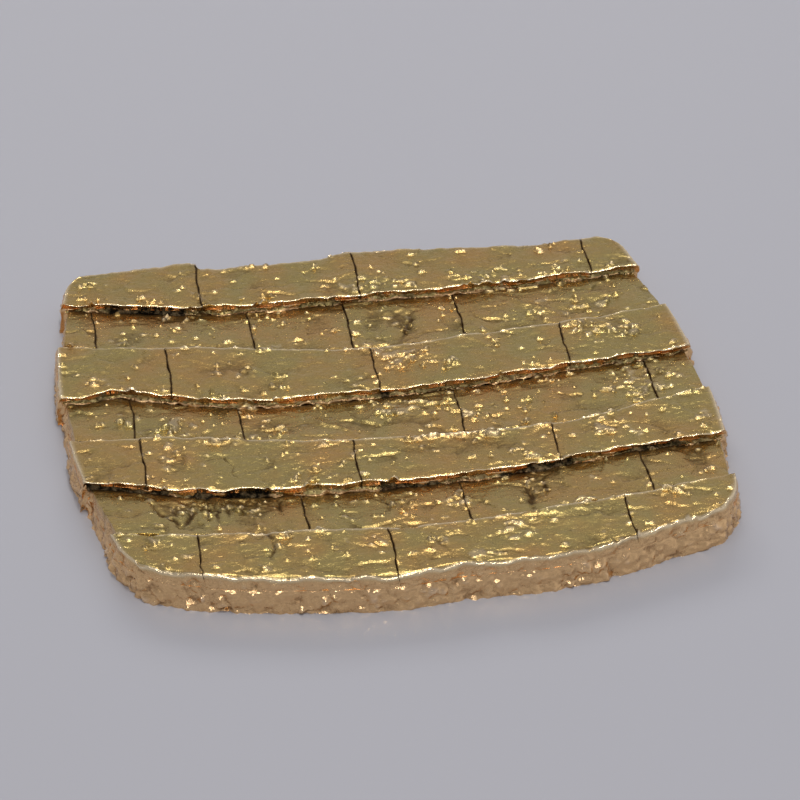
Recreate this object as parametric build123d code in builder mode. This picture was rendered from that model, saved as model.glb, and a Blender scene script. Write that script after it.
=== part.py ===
"""Brass paperweight: a rough-cast slab faced with small brass blocks laid in lapped courses.

The blocks lie in four tiers. Each tier ends at the front in a raised, flat course of lip blocks.
Behind every lip course but the first lies a course of bed blocks, which slopes down towards the back
and dips under the lip of the tier behind it. A seam of braze fills the foot of each inner step.

Frame: millimetres, +Z up, X along the courses, +Y towards the back tier. The origin is the centre of
the slab's underside.
"""

import os
from math import sqrt

from build123d import *

# Overall size
WIDTH = 90.0
DEPTH = 78.0
HEIGHT = 5.0

# Outline of the slab's foot: four large arcs with rounded corners
LEFT_ARC_RADIUS = 128.0
LEFT_ARC_MIDDLE_Y = 10.0
RIGHT_ARC_RADIUS = 160.0
RIGHT_ARC_MIDDLE_Y = -5.0
FRONT_ARC_RADIUS = 103.0
BACK_ARC_RADIUS = 900.0
FRONT_CORNER_RADIUS = 10.0
BACK_CORNER_RADIUS = 6.0

# Slab
SEAT_HEIGHT = 4.0  # top of the slab, under the lip blocks
FRONT_SEAT_HEIGHT = 3.0  # lower seat of the thicker front course
SLAB_TAPER = 16.0  # degrees, from the foot inwards to the seats
LIP_INSET = 1.4  # from the foot's outline to the ends of the lip blocks
BED_INSET = 2.2  # the same to the ends of the bed blocks
NOTCH_INSET = BED_INSET - 0.1  # the slab's own end in a bed course

# Bed blocks
BED_BACK_TOP = 3.4  # top of a bed block, under the lip behind it
BED_FRONT_TOP = 4.7  # top of a bed block, against its own lip course
BED_FLOOR = 1.9  # floor of the slab's pockets, under the bed blocks

# Gaps and steps between blocks
JOINT_GAP = 0.25
COURSE_GAP = 0.15
LIP_OVERHANG = 0.4  # how far a lip block reaches past the slab's step below it

# Braze seams, in the corner between a step and the bed blocks at its foot
SEAM_REACH = 0.65
SEAM_BOTTOM = 3.57
SEAM_TOP = 3.95

# Course lines: each bows towards the front, from its two ends to its lowest point at x = 0.
# (y at the middle, rise from there to the ends at x = +-LINE_HALF_SPAN)
LINE_HALF_SPAN = 50.0
LIP_LINES = {1: (26.6, 3.7), 2: (3.0, 6.9), 3: (-17.8, 6.9)}
STEP_LINES = {2: (13.8, 6.9), 3: (-8.0, 7.1), 4: (-27.8, 6.6)}

# Joints across each course, by their place along X
LIP_JOINTS = {
    1: (-22.8, -0.3, 33.0),
    2: (-28.6, -0.7, 26.0),
    3: (-33.6, -5.9, 20.7),
    4: (-28.0, -3.7, 27.3),
}
BED_JOINTS = {
    2: (-38.0, -16.5, -2.9, 12.8),
    3: (-34.2, -20.0, 9.3, 36.2),
    4: (-13.8, 7.0, 31.5),
}


def outline(inset=0.0):
    """The slab's outline in plan, moved inwards by inset."""
    with BuildSketch() as shape:
        with Locations((LEFT_ARC_RADIUS - WIDTH / 2, LEFT_ARC_MIDDLE_Y)):
            Circle(LEFT_ARC_RADIUS - inset)
        with Locations((WIDTH / 2 - RIGHT_ARC_RADIUS, RIGHT_ARC_MIDDLE_Y)):
            Circle(RIGHT_ARC_RADIUS - inset, mode=Mode.INTERSECT)
        with Locations((0, FRONT_ARC_RADIUS - DEPTH / 2)):
            Circle(FRONT_ARC_RADIUS - inset, mode=Mode.INTERSECT)
        with Locations((0, DEPTH / 2 - BACK_ARC_RADIUS)):
            Circle(BACK_ARC_RADIUS - inset, mode=Mode.INTERSECT)
        fillet(shape.vertices().sort_by(Axis.Y)[:2], FRONT_CORNER_RADIUS - inset)
        fillet(shape.vertices().sort_by(Axis.Y)[-2:], BACK_CORNER_RADIUS - inset)
    return shape.sketch


def line_radius(line):
    """Radius of a course line's arc."""
    rise = line[1]
    return (LINE_HALF_SPAN**2 + rise**2) / (2 * rise)


def line_y(line, x):
    """Y of a course line at x."""
    radius = line_radius(line)
    return line[0] + radius - sqrt(radius**2 - x**2)


def course_arc(line, shift=0.0):
    """A course line as an edge, moved by shift along Y."""
    end_y = line_y(line, LINE_HALF_SPAN) + shift
    return ThreePointArc((-LINE_HALF_SPAN, end_y), (0, line[0] + shift), (LINE_HALF_SPAN, end_y))


def straight_edge(y):
    """A straight line across the object, outside its outline."""
    return Line((-LINE_HALF_SPAN, y), (LINE_HALF_SPAN, y))


def band(back, front, back_shift=0.0, front_shift=0.0):
    """The face between two course lines; None stands for the far side of the outline."""
    with BuildSketch() as face:
        with BuildLine():
            rear = course_arc(back, back_shift) if back else straight_edge(DEPTH)
            fore = course_arc(front, front_shift) if front else straight_edge(-DEPTH)
            Line(rear @ 0, fore @ 0)
            Line(rear @ 1, fore @ 1)
        make_face()
    return face.sketch


def course_cells(region, outline_face, joints):
    """The faces of a course's blocks in plan, from left to right."""
    with BuildSketch() as cells:
        add(region)
        add(outline_face, mode=Mode.INTERSECT)
        for x in joints:
            with Locations((x, 0)):
                Rectangle(JOINT_GAP, 3 * DEPTH, mode=Mode.SUBTRACT)
    return cells.sketch.faces().sort_by(Axis.X)


def bed_top(tier, left_x, right_x):
    """The sloping top plane of a bed block between left_x and right_x."""
    back, front = LIP_LINES[tier - 1], STEP_LINES[tier]
    middle_x = (left_x + right_x) / 2
    left = Vector(left_x, line_y(back, left_x), BED_BACK_TOP)
    right = Vector(right_x, line_y(back, right_x), BED_BACK_TOP)
    fore = Vector(middle_x, line_y(front, middle_x), BED_FRONT_TOP)
    return Plane(origin=left, x_dir=right - left, z_dir=(fore - left).cross(right - left))


def save(part, name):
    """Label a finished piece and write it."""
    part.label = name
    export_step(part, f"parts/{name}.step")


os.makedirs("parts", exist_ok=True)

# ---------------------------------------------------------------- outlines
foot_outline = outline()
lip_outline = outline(LIP_INSET)
bed_outline = outline(BED_INSET)
notch_outline = outline(NOTCH_INSET)

# ---------------------------------------------------------------- lip courses
for tier, joints in LIP_JOINTS.items():
    seat = SEAT_HEIGHT if tier < 4 else FRONT_SEAT_HEIGHT
    region = band(STEP_LINES.get(tier), LIP_LINES.get(tier), back_shift=-COURSE_GAP)
    cells = course_cells(region, lip_outline, joints)
    for number, cell in enumerate(cells, 1):
        with BuildPart() as lip_block:
            with BuildSketch(Plane.XY.offset(seat)):
                add(cell)
            extrude(amount=HEIGHT - seat)
        save(lip_block.part, f"tier{tier}_lip_block_{number}")

# ---------------------------------------------------------------- bed courses
for tier, joints in BED_JOINTS.items():
    ends = (-WIDTH / 2, *joints, WIDTH / 2)
    region = band(LIP_LINES[tier - 1], STEP_LINES[tier], back_shift=LIP_OVERHANG - COURSE_GAP)
    cells = course_cells(region, bed_outline, joints)
    for number, cell in enumerate(cells, 1):
        with BuildPart() as bed_block:
            with BuildSketch(Plane.XY.offset(BED_FLOOR)):
                add(cell)
            extrude(amount=HEIGHT)
            split(bisect_by=bed_top(tier, ends[number - 1], ends[number]), keep=Keep.BOTTOM)
        save(bed_block.part, f"tier{tier}_bed_block_{number}")

# ---------------------------------------------------------------- slab
with BuildPart() as base_slab:
    with BuildSketch():
        add(foot_outline)
    extrude(amount=SEAT_HEIGHT, taper=SLAB_TAPER)
    with BuildSketch(Plane.XY.offset(FRONT_SEAT_HEIGHT)):
        add(band(STEP_LINES[4], None))
    extrude(amount=HEIGHT, mode=Mode.SUBTRACT)
    for tier in BED_JOINTS:
        bed = band(LIP_LINES[tier - 1], STEP_LINES[tier], back_shift=LIP_OVERHANG)
        with BuildSketch(Plane.XY.offset(BED_FLOOR)):
            add(bed)
        extrude(amount=HEIGHT, mode=Mode.SUBTRACT)
        with BuildSketch():
            add(bed)
            add(notch_outline, mode=Mode.SUBTRACT)
        extrude(amount=HEIGHT, mode=Mode.SUBTRACT)
save(base_slab.part, "base_slab")

# ---------------------------------------------------------------- braze seams
for tier, lip_line in LIP_LINES.items():
    with BuildPart() as braze_seam:
        with BuildSketch(Plane.XY.offset(SEAM_BOTTOM)):
            add(band(lip_line, lip_line, LIP_OVERHANG, LIP_OVERHANG - SEAM_REACH))
            add(bed_outline, mode=Mode.INTERSECT)
        extrude(amount=SEAM_TOP - SEAM_BOTTOM)
    save(braze_seam.part, f"tier{tier}_braze_seam")
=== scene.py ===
import math
import bpy
import numpy as np
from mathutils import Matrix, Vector


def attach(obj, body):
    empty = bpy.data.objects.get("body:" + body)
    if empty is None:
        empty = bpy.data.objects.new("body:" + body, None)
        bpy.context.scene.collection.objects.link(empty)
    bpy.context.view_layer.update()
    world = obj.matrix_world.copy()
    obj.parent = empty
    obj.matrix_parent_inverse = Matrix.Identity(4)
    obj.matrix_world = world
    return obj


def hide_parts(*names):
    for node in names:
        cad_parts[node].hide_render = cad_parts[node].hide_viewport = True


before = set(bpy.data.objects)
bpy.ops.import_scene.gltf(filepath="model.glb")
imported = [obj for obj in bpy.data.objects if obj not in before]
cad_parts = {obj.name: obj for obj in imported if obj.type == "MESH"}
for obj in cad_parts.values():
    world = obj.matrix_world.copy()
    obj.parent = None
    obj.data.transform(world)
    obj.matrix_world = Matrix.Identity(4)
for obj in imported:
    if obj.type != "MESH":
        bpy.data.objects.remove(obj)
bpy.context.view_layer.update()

# -------------------- sizes, in millimetres as in the CAD
MM = 0.001
HEIGHT = 5.0
SIDE_ARCS = (                      # centre and radius of the foot's right, back, left and front arcs
    ((-115.0, -5.0), 160.0),
    ((0.0, -861.0), 900.0),
    ((83.0, 10.0), 128.0),
    ((0.0, 64.0), 103.0),
)
CORNER_RADII = (6.0, 6.0, 10.0, 10.0)   # back right, back left, front left, front right
LIP_INSET, BED_INSET = 1.4, 2.2
SEAT, FRONT_SEAT, BED_FLOOR = 4.0, 3.0, 1.9
BED_BACK_TOP, BED_FRONT_TOP, BED_CROWN = 3.4, 4.7, 0.3
LIP_DEPTH, TOP_DROP = 10.0, 0.1         # a lip's rough depth, and how low its top lies to make room for lumps
LINE_HALF_SPAN = 50.0
LIP_LINES = {1: (26.6, 3.7), 2: (3.0, 6.9), 3: (-17.8, 6.9)}
STEP_LINES = {2: (13.8, 6.9), 3: (-8.0, 7.1), 4: (-27.8, 6.6)}
LIP_JOINTS = {1: (-22.8, -0.3, 33.0), 2: (-28.6, -0.7, 26.0), 3: (-33.6, -5.9, 20.7), 4: (-28.0, -3.7, 27.3)}
BED_JOINTS = {2: (-38.0, -16.5, -2.9, 12.8), 3: (-34.2, -20.0, 9.3, 36.2), 4: (-13.8, 7.0, 31.5)}
LIP_OVERHANG, JOINT_GAP = 0.4, 0.045
LAND_INSET, PLATE_INSET, SEAM_INSET = 1.1, 1.8, 1.7   # how far the slab's walls and the seams stand in
FRONT_TIER = 4
# how far each line wanders from its even bow: (x, shift along y) in millimetres
LIP_DRIFT = {
    1: ((-42, 0.5), (-20, -1.0), (0, 0.0), (42, 0.0)),
    2: ((-42, -1.0), (-36, 1.0), (-20, -1.0), (0, 0.0), (25, 1.0), (42, 0.0)),
    3: ((-42, 0.5), (-25, -0.5), (0, 0.0), (30, 1.0), (42, 0.0)),
}
STEP_DRIFT = {
    2: ((-42, 0.5), (-25, 1.0), (0, -0.5), (15, 0.5), (42, 0.0)),
    3: ((-42, 0.0), (-30, 1.5), (-5, 0.0), (20, -1.0), (42, 0.5)),
    4: ((-36, 0.0), (-10, 0.5), (0, 0.0), (25, 1.0), (42, 1.0)),
}
FRONT_DRIFT = ((-41, 0.0), (-28, -0.5), (-5, 0.0), (6, 1.0), (18, 0.0), (33, 0.5), (42, 0.0))
BACK_DRIFT = ((-40, 0.0), (-23, 0.5), (-22, -1.5), (-8, -1.5), (0, 0.0), (25, -1.0), (35, 0.0))

GRID = 0.2    # spacing of the hewn faces' grid
WALL_GRID = 0.26                      # spacing along the slab's walls


# -------------------- plan lines
def waver(t, length, amount, seed):
    """A smooth wandering line: amount high, turning about once every length."""
    rng = np.random.default_rng(seed)
    total = np.zeros_like(t, dtype=float)
    for octave in (0.6, 1.0, 1.7, 2.9):
        phase = rng.uniform(0, 2 * math.pi)
        total += np.sin(t * 2 * math.pi * octave * rng.uniform(0.85, 1.15) / length + phase) / octave
    return amount * total / 1.9


def eased(knots, x):
    """A smooth line through a few knots."""
    at, value = np.array(knots, dtype=float).T
    k = np.clip(np.searchsorted(at, x) - 1, 0, len(at) - 2)
    t = np.clip((x - at[k]) / (at[k + 1] - at[k]), 0, 1)
    return value[k] + (value[k + 1] - value[k]) * t * t * (3 - 2 * t)


def course_line(line, drift, shift=0.0):
    """Y of a bowed course line, as a function of x."""
    middle, rise = line
    radius = (LINE_HALF_SPAN ** 2 + rise ** 2) / (2 * rise)

    def y_at(x):
        x = np.asarray(x, dtype=float)
        return middle + shift + radius - np.sqrt(radius ** 2 - x ** 2) + eased(drift, x)
    return y_at


def lip_line(tier, shift=0.0):
    return course_line(LIP_LINES[tier], LIP_DRIFT[tier], shift)


def step_line(tier, shift=0.0):
    return course_line(STEP_LINES[tier], STEP_DRIFT[tier], shift)


def outline(inset):
    """The slab's rounded outline, moved inwards: points and outward normals, anticlockwise."""
    arcs = [(np.array(centre), radius) for centre, radius in SIDE_ARCS]
    corners = []
    for (c0, r0), (c1, r1), round_off in zip(arcs, arcs[1:] + arcs[:1], CORNER_RADII):
        gap = c1 - c0
        far = np.hypot(*gap)
        along = (far ** 2 + (r0 - round_off) ** 2 - (r1 - round_off) ** 2) / (2 * far)
        across = math.sqrt((r0 - round_off) ** 2 - along ** 2)
        middle = c0 + gap * along / far
        side = np.array([-gap[1], gap[0]]) / far * across
        corners.append(max((middle + side, middle - side), key=lambda p: -abs(np.hypot(*p) - 52)))
    points, normals = [], []
    for k, (centre, radius) in enumerate(arcs):
        ends = [corners[k - 1] - centre, corners[k] - centre]
        a0, a1 = [math.atan2(e[1], e[0]) % (2 * math.pi) for e in ends]
        if a0 > a1:
            a0 -= 2 * math.pi
        angles = np.linspace(a0, a1, 160)
        n = np.stack([np.cos(angles), np.sin(angles)], 1)
        points.append(centre + n * (radius - inset))
        normals.append(n)
        turn = corners[k] - arcs[(k + 1) % 4][0]
        b0, b1 = a1, math.atan2(turn[1], turn[0]) % (2 * math.pi)
        while b1 < b0:
            b1 += 2 * math.pi
        angles = np.linspace(b0, b1, 40)[1:-1]
        n = np.stack([np.cos(angles), np.sin(angles)], 1)
        points.append(corners[k] + n * (CORNER_RADII[k] - inset))
        normals.append(n)
    return np.concatenate(points), np.concatenate(normals)


def outline_sides(inset):
    """The outline as four functions: left x(y), right x(y), back y(x) and front y(x)."""
    points, normals = outline(inset)
    steep = np.abs(normals[:, 0]) > np.abs(normals[:, 1])
    masks = {
        "left": steep & (normals[:, 0] < 0), "right": steep & (normals[:, 0] > 0),
        "back": ~steep & (normals[:, 1] > 0), "front": ~steep & (normals[:, 1] < 0),
    }
    sides = {}
    for name, mask in masks.items():
        along, across = (1, 0) if name in ("left", "right") else (0, 1)
        chosen = points[mask]
        chosen = chosen[np.argsort(chosen[:, along])]
        sides[name] = (chosen[:, along], chosen[:, across])
    return sides


def side_at(side, t):
    return np.interp(t, side[0], side[1])


def meet(side, line):
    """Where a course line meets the left or right side."""
    x = float(side[1].mean())
    for _ in range(25):
        x = float(side_at(side, float(line(x))))
    return np.array([x, float(line(x))])


# -------------------- block plans
def end_curve(side, top, bottom, rows):
    """Points down the outline's left or right side, from the back corner to the front one."""
    y = np.linspace(top[1], bottom[1], rows + 1)
    curve = np.stack([side_at(side, y), y], 1)
    curve[0], curve[-1] = top, bottom
    return curve


def joint_curve(x, back, front, rows, seed, gap):
    """Points down a joint's face: a slightly ragged line from back to front."""
    top = np.array([x, float(back(x))])
    bottom = np.array([x, float(front(x))])
    y = np.linspace(top[1], bottom[1], rows + 1)
    width = gap * (1 + waver(y, 3.0, 0.8, seed + 5))
    return np.stack([x + width + waver(y, 7.0, 0.10, seed) + waver(y, 1.6, 0.012, seed + 7), y], 1)


def course_plans(back, front, inset, joints, gap, spacing, seed):
    """The plans of a course's blocks, left to right. back or front None means the outline itself."""
    sides = outline_sides(inset)
    left, right = sides["left"], sides["right"]
    corners = {}
    for name, side, end in (("left", left, 0), ("right", right, -1)):
        for edge, line in (("back", back), ("front", front)):
            corners[name, edge] = meet(side, line) if line else np.array([c[end] for c in sides[edge]])
    back_y = back or (lambda x: side_at(sides["back"], x) + eased(BACK_DRIFT, x))
    front_y = front or (lambda x: side_at(sides["front"], x) + eased(FRONT_DRIFT, x))
    plans = []
    for k in range(len(joints) + 1):
        x0 = joints[k - 1] if k else corners["left", "back"][0]
        x1 = joints[k] if k < len(joints) else corners["right", "back"][0]
        middle = (x0 + x1) / 2
        rows = max(4, round(float(back_y(middle) - front_y(middle)) / spacing))
        if k:
            west = joint_curve(x0, back_y, front_y, rows, seed + 31 * k, gap / 2)
        else:
            west = end_curve(left, corners["left", "back"], corners["left", "front"], rows)
        if k < len(joints):
            east = joint_curve(x1, back_y, front_y, rows, seed + 31 * (k + 1), -gap / 2)
        else:
            east = end_curve(right, corners["right", "back"], corners["right", "front"], rows)
        columns = max(4, round(max(east[0, 0] - west[0, 0], east[-1, 0] - west[-1, 0]) / spacing))
        u = np.linspace(0, 1, columns + 1)
        x_back = west[0, 0] + (east[0, 0] - west[0, 0]) * u
        x_front = west[-1, 0] + (east[-1, 0] - west[-1, 0]) * u
        north = np.stack([x_back, back_y(x_back)], 1)
        south = np.stack([x_front, front_y(x_front)], 1)
        north[0], north[-1], south[0], south[-1] = west[0], east[0], west[-1], east[-1]
        plans.append({"west": west, "east": east, "north": north, "south": south,
                      "first": k == 0, "last": k == len(joints)})
    return plans


def loop_of(plan):
    """A plan's boundary as one anticlockwise loop from its back left corner."""
    return np.concatenate([plan["west"], plan["south"][1:], plan["east"][-2::-1], plan["north"][-2:0:-1]])


def loop_side(columns, rows):
    """Which side each point of the loop is on: 0 left, 1 front, 2 right, 3 back."""
    return np.repeat([0, 1, 2, 3], [rows + 1, columns, rows, columns - 1])


def outward(loop):
    """Outward offset directions of a loop, longer at its corners so that its sides stay straight."""
    ahead = np.roll(loop, -1, 0) - loop
    ahead /= np.linalg.norm(ahead, axis=1)[:, None]
    behind = np.roll(ahead, 1, 0)
    n0 = np.stack([ahead[:, 1], -ahead[:, 0]], 1)
    n1 = np.stack([behind[:, 1], -behind[:, 0]], 1)
    both = n0 + n1
    return both / np.maximum((both * n0).sum(1), 0.6)[:, None]


def coons(west, east, north, south):
    """A grid of points, [column, row], filled in between four edges."""
    u = np.linspace(0, 1, len(north))[:, None, None]
    v = np.linspace(0, 1, len(west))[None, :, None]
    ruled = (1 - v) * north[:, None] + v * south[:, None] + (1 - u) * west[None] + u * east[None]
    bilinear = ((1 - u) * (1 - v) * north[0] + u * (1 - v) * north[-1]
                + (1 - u) * v * south[0] + u * v * south[-1])
    return ruled - bilinear


# -------------------- tool marks on the top, in plan millimetres
def along_stroke(x, y, stroke):
    """Distance from a straight stroke, and 0 to 1 along it."""
    x0, y0, x1, y1 = stroke
    dx, dy = x1 - x0, y1 - y0
    t = np.clip(((x - x0) * dx + (y - y0) * dy) / (dx * dx + dy * dy), 0, 1)
    return np.hypot(x - x0 - t * dx, y - y0 - t * dy), t


MARKS_FROM = (-0.3, -2.2)             # the point that the marks below are set out from
CUT_GAIN, DIP_GAIN = 1.2, 1.5         # how much deeper strokes and hollows are made than listed
# grooves: x0, y0, x1, y1, half width, depth
GROOVES = (
    (6.9, 25.0, 4.4, 17.9, 0.45, 0.40), (-26.6, -15.5, -29.4, -21.4, 0.40, 0.45),
    (-24.8, -16.0, -24.6, -21.0, 0.25, 0.25), (-3.2, -17.2, -2.6, -21.0, 0.25, 0.20),
    (15.9, -17.2, 15.8, -23.4, 0.55, 0.45), (18.2, -15.6, 18.1, -20.4, 0.35, 0.30),
    (-19.2, -23.0, -18.2, -26.5, 0.35, 0.22), (-18.2, -26.5, -18.8, -30.0, 0.30, 0.20),
    (-23.3, -6.9, -22.0, -9.2, 0.16, 0.14), (-22.0, -9.2, -21.6, -12.4, 0.16, 0.14),
    (-36.5, 9.5, -30.0, 9.0, 0.18, 0.08), (1.8, -27.5, 3.6, -31.5, 0.30, 0.12),
    (14.5, 23.0, 17.5, 19.5, 0.25, 0.10), (-33.0, -15.6, -29.4, -21.5, 0.35, 0.40),
    (-25.6, -15.8, -25.8, -20.4, 0.25, 0.30), (-23.4, -15.6, -23.2, -19.8, 0.22, 0.25),
    (-21.2, -15.6, -21.4, -19.4, 0.22, 0.25), (-16.8, -15.4, -16.4, -20.0, 0.25, 0.28),
    (-30.2, -15.4, -30.0, -18.4, 0.20, 0.22), (-28.0, -15.4, -28.2, -18.0, 0.20, 0.20),
)
# ridges: x0, y0, x1, y1, half width, height
RIDGES = (
    (19.6, 27.0, 27.0, 20.0, 0.50, 0.32), (-11.7, 1.9, -4.1, -5.0, 0.55, 0.30),
    (-26.9, -3.4, -19.5, -4.4, 0.40, 0.22), (0.7, -6.6, 20.0, -5.6, 0.35, 0.20),
    (-18.7, 12.8, -16.4, 10.4, 0.35, 0.18), (8.0, -25.8, 22.0, -24.8, 0.35, 0.18),
    (2.0, 12.4, 9.0, 12.6, 0.30, 0.15), (-28.5, -5.6, -26.8, -9.8, 0.30, 0.22),
)
# hollows: x, y, half length, half width, turn in degrees, depth
HOLLOWS = (
    (-29.6, -16.6, 2.8, 1.8, 0, 0.20), (-25.7, -17.2, 1.0, 2.6, 0, 0.14), (-19.8, -17.2, 4.2, 2.2, 0, 0.20),
    (4.8, 22.0, 1.6, 3.2, 15, 0.22), (17.0, -18.0, 1.2, 3.0, -8, 0.18), (-16.5, -1.0, 3.4, 2.4, 30, 0.14),
    (30.5, 22.0, 4.5, 2.0, 20, 0.12), (-33.0, 22.5, 2.5, 2.0, 0, 0.15), (-27.6, 28.2, 0.9, 0.9, 0, 0.30),
    (22.5, 6.5, 3.0, 1.5, 0, 0.10), (-12.0, -12.5, 4.0, 2.0, 10, 0.08), (39.0, -14.5, 1.4, 2.4, 0, 0.20),
    (-19.5, -24.6, 1.0, 0.9, 0, 0.16), (-1.0, -25.2, 2.0, 0.8, 10, 0.14), (1.2, 23.5, 1.4, 2.5, 0, 0.18),
)
# chattered patches, where the tool skipped: x, y, half length, half width, strength
PATCHES = (
    (3.5, 12.0, 3.6, 3.2, 1.0), (32.5, 15.5, 5.5, 3.0, 1.0), (-17.4, 11.6, 2.0, 1.8, 0.9),
    (-28.8, 1.2, 3.4, 2.6, 1.0), (3.5, 1.0, 5.0, 3.0, 0.9), (35.5, 4.0, 5.5, 6.0, 0.8),
    (-29.8, -6.4, 2.4, 4.2, 0.9), (-23.0, -4.2, 4.6, 0.9, 0.9), (10.5, -6.6, 9.0, 1.0, 0.9),
    (28.6, -7.0, 3.2, 3.0, 0.9), (41.8, -7.6, 1.6, 2.0, 1.0), (-19.0, -18.6, 4.6, 3.0, 0.6),
    (-22.5, 30.5, 2.0, 3.5, 0.7), (2.0, 31.0, 6.0, 3.0, 0.8), (20.0, 30.5, 7.0, 3.0, 0.8),
    (30.0, 32.0, 3.0, 3.0, 0.6), (-27.0, 22.5, 6.0, 2.5, 0.6), (-3.0, 20.5, 4.0, 3.0, 0.6),
    (22.0, 21.5, 5.0, 3.0, 0.9), (-36.0, 12.5, 3.0, 3.0, 0.5), (-13.5, 7.5, 2.5, 2.0, 0.4),
    (11.0, 5.0, 4.0, 1.4, 0.7), (-0.5, -20.5, 2.4, 2.6, 0.8), (6.8, -20.6, 2.6, 2.4, 1.0),
    (15.4, -22.0, 1.6, 1.6, 0.9), (13.0, -28.4, 2.6, 2.6, 1.0), (7.6, -32.4, 2.4, 1.2, 1.0),
    (3.4, -28.4, 2.2, 1.8, 0.8), (24.6, -18.0, 1.6, 1.6, 0.8), (22.2, -22.8, 2.4, 1.2, 1.0),
    (-5.6, -28.0, 2.6, 1.6, 0.8), (-17.0, -24.6, 1.6, 1.2, 1.0), (-29.6, -28.4, 1.6, 1.2, 0.7),
    (-25.6, -29.4, 1.8, 1.6, 0.5), (-19.8, -31.8, 1.2, 1.2, 0.8), (34.0, -22.5, 3.0, 2.5, 0.7),
    (12.0, -2.0, 5.0, 2.0, 0.6), (-35.5, 3.0, 2.0, 3.0, 0.4), (-9.5, -10.8, 3.0, 2.2, 0.5),
    (18.0, -12.5, 3.5, 1.6, 0.6), (37.0, -10.5, 2.6, 1.6, 0.5), (-30.0, 31.5, 4.0, 2.0, 0.5),
)


def hand_marks(x, y):
    """Height change, darkness and chatter at points of the top."""
    rise, dark, chatter = np.zeros_like(x), np.zeros_like(x), np.full_like(x, 0.15)
    mx, my = x - MARKS_FROM[0], y - MARKS_FROM[1]
    for k, (*stroke, half, depth) in enumerate(GROOVES):
        d, t = along_stroke(mx + waver(y, 2.2, 0.18, 500 + k), my + waver(x, 2.2, 0.18, 600 + k), stroke)
        cut = np.exp(-(d / half) ** 2) * (0.35 + 0.65 * np.sin(math.pi * np.clip(t, 0.08, 0.92)))
        rise -= CUT_GAIN * depth * cut
        dark = np.maximum(dark, cut * min(1.0, 0.3 + depth * 2.6))
    for k, (*stroke, half, height) in enumerate(RIDGES):
        d, t = along_stroke(mx + waver(y, 3.0, 0.25, 700 + k), my + waver(x, 3.0, 0.25, 800 + k), stroke)
        crest = np.exp(-(d / half) ** 1.6) * np.sin(math.pi * np.clip(t, 0.1, 0.9))
        rise += CUT_GAIN * height * crest
        chatter = np.maximum(chatter, 0.5 * crest)
    for k, (cx, cy, a, b, turn, depth) in enumerate(HOLLOWS):
        c, s = math.cos(math.radians(turn)), math.sin(math.radians(turn))
        px = mx - cx + waver(y, 4.0, 0.3, 900 + k)
        py = my - cy + waver(x, 4.0, 0.3, 950 + k)
        r = np.hypot((px * c + py * s) / a, (py * c - px * s) / b)
        dip = 1 / (1 + np.exp((r - 1) * 8))
        rise -= DIP_GAIN * depth * dip
        dark = np.maximum(dark, dip * min(0.9, depth * 2.5))
        chatter = np.maximum(chatter, 0.65 * dip)
    for cx, cy, a, b, strength in PATCHES:
        r2 = ((mx - cx) / a) ** 2 + ((my - cy) / b) ** 2
        chatter = np.maximum(chatter, strength * np.exp(-r2 ** 1.5))
    return rise, dark, chatter


# -------------------- one block as a mesh
def smooth_mesh(name, verts, faces, values):
    """A mesh in metres with smooth faces and per-point values."""
    mesh = bpy.data.meshes.new(name)
    mesh.from_pydata((verts * MM).tolist(), [], faces)
    for key, data in values.items():
        layer = mesh.attributes.new(key, "FLOAT", "POINT")
        layer.data.foreach_set("value", np.asarray(data, dtype=np.float32))
    mesh.update()
    obj = bpy.data.objects.new(name, mesh)
    bpy.context.scene.collection.objects.link(obj)
    return obj


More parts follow.
